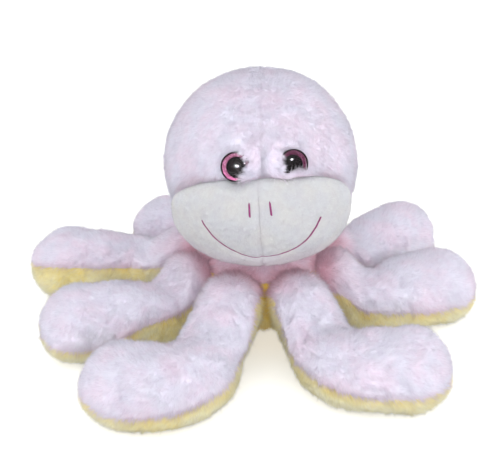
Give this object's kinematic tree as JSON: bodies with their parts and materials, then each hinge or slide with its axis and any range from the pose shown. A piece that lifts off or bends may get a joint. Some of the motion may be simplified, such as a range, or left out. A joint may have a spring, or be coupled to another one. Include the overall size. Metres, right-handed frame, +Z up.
{
  "type": "plush octopus",
  "caption": "Sitting plush octopus toy: ball head with pillow muzzle and plastic eyes, squat torso, and curled two-tone arms that lift at their sewn roots.",
  "frame": {"origin": "centre of the flat patch on the base panel, on the surface that the toy sits on", "axes": "+Z up, the face looks along -Y, +X is to the right of someone facing the toy"},
  "size_m": [0.297, 0.2912, 0.1681],
  "materials": {
    "pink_plush": "matte",
    "yellow_plush": "matte",
    "white_plush": "matte",
    "fibre": "matte",
    "pink_thread": "matte",
    "magenta_thread": "satin",
    "glitter_film": "gloss",
    "black_plastic": "gloss",
    "clear_lens": "polished",
    "nylon": "satin"
  },
  "bodies": {
    "torso": {"torso_upper_skin": "pink_plush", "base_panel": "yellow_plush", "torso_stuffing": "fibre", "neck_thread": "pink_thread"},
    "head": {"head_front_left_gore": "pink_plush", "head_front_right_gore": "pink_plush", "head_back_left_gore": "pink_plush", "head_back_right_gore": "pink_plush", "head_stuffing": "fibre", "muzzle_left_panel": "white_plush", "muzzle_right_panel": "white_plush", "muzzle_stuffing": "fibre", "smile_thread": "magenta_thread", "nostril_left_thread": "magenta_thread", "nostril_right_thread": "magenta_thread", "eye_left_backing": "black_plastic", "eye_left_iris": "glitter_film", "eye_left_lens": "clear_lens", "eye_left_washer": "nylon", "eye_right_backing": "black_plastic", "eye_right_iris": "glitter_film", "eye_right_lens": "clear_lens", "eye_right_washer": "nylon"},
    "arm_1": {"arm_1_upper_skin": "pink_plush", "arm_1_lower_skin": "yellow_plush", "arm_1_stuffing": "fibre"},
    "arm_2": {"arm_2_upper_skin": "pink_plush", "arm_2_lower_skin": "yellow_plush", "arm_2_stuffing": "fibre"},
    "arm_3": {"arm_3_upper_skin": "pink_plush", "arm_3_lower_skin": "yellow_plush", "arm_3_stuffing": "fibre"},
    "arm_4": {"arm_4_upper_skin": "pink_plush", "arm_4_lower_skin": "yellow_plush", "arm_4_stuffing": "fibre"},
    "arm_5": {"arm_5_upper_skin": "pink_plush", "arm_5_lower_skin": "yellow_plush", "arm_5_stuffing": "fibre"},
    "arm_6": {"arm_6_upper_skin": "pink_plush", "arm_6_lower_skin": "yellow_plush", "arm_6_stuffing": "fibre"},
    "arm_7": {"arm_7_upper_skin": "pink_plush", "arm_7_lower_skin": "yellow_plush", "arm_7_stuffing": "fibre"},
    "arm_8": {"arm_8_upper_skin": "pink_plush", "arm_8_lower_skin": "yellow_plush", "arm_8_stuffing": "fibre"}
  },
  "joints": [
    {"name": "head_nod", "type": "hinge", "parent": "torso", "child": "head", "pos_m": [0, 0, 0.10807], "axis": [-1, 0, 0], "range_deg": [-5, 10], "stiffness_Nm_per_rad": 0.3},
    {"name": "arm_1_lift", "type": "hinge", "parent": "torso", "child": "arm_1", "pos_m": [-0.01731, -0.04887, 0.034], "axis": [-0.9426, 0.3338, 0], "range_deg": [-30, 12], "stiffness_Nm_per_rad": 0.08},
    {"name": "arm_2_lift", "type": "hinge", "parent": "torso", "child": "arm_2", "pos_m": [0.02232, -0.04679, 0.034], "axis": [-0.9026, -0.4305, 0], "range_deg": [-30, 12], "stiffness_Nm_per_rad": 0.08},
    {"name": "arm_3_lift", "type": "hinge", "parent": "torso", "child": "arm_3", "pos_m": [0.04887, -0.01731, 0.034], "axis": [-0.3338, -0.9426, 0], "range_deg": [-30, 30], "stiffness_Nm_per_rad": 0.08},
    {"name": "arm_4_lift", "type": "hinge", "parent": "torso", "child": "arm_4", "pos_m": [0.04679, 0.02232, 0.034], "axis": [0.4305, -0.9026, 0], "range_deg": [-30, 30], "stiffness_Nm_per_rad": 0.08},
    {"name": "arm_5_lift", "type": "hinge", "parent": "torso", "child": "arm_5", "pos_m": [0.01731, 0.04887, 0.034], "axis": [0.9426, -0.3338, 0], "range_deg": [-30, 30], "stiffness_Nm_per_rad": 0.08},
    {"name": "arm_6_lift", "type": "hinge", "parent": "torso", "child": "arm_6", "pos_m": [-0.02232, 0.04679, 0.034], "axis": [0.9026, 0.4305, 0], "range_deg": [-30, 30], "stiffness_Nm_per_rad": 0.08},
    {"name": "arm_7_lift", "type": "hinge", "parent": "torso", "child": "arm_7", "pos_m": [-0.04887, 0.01731, 0.034], "axis": [0.3338, 0.9426, 0], "range_deg": [-30, 30], "stiffness_Nm_per_rad": 0.08},
    {"name": "arm_8_lift", "type": "hinge", "parent": "torso", "child": "arm_8", "pos_m": [-0.04679, -0.02232, 0.034], "axis": [-0.4305, 0.9026, 0], "range_deg": [-30, 30], "stiffness_Nm_per_rad": 0.08}
  ]
}
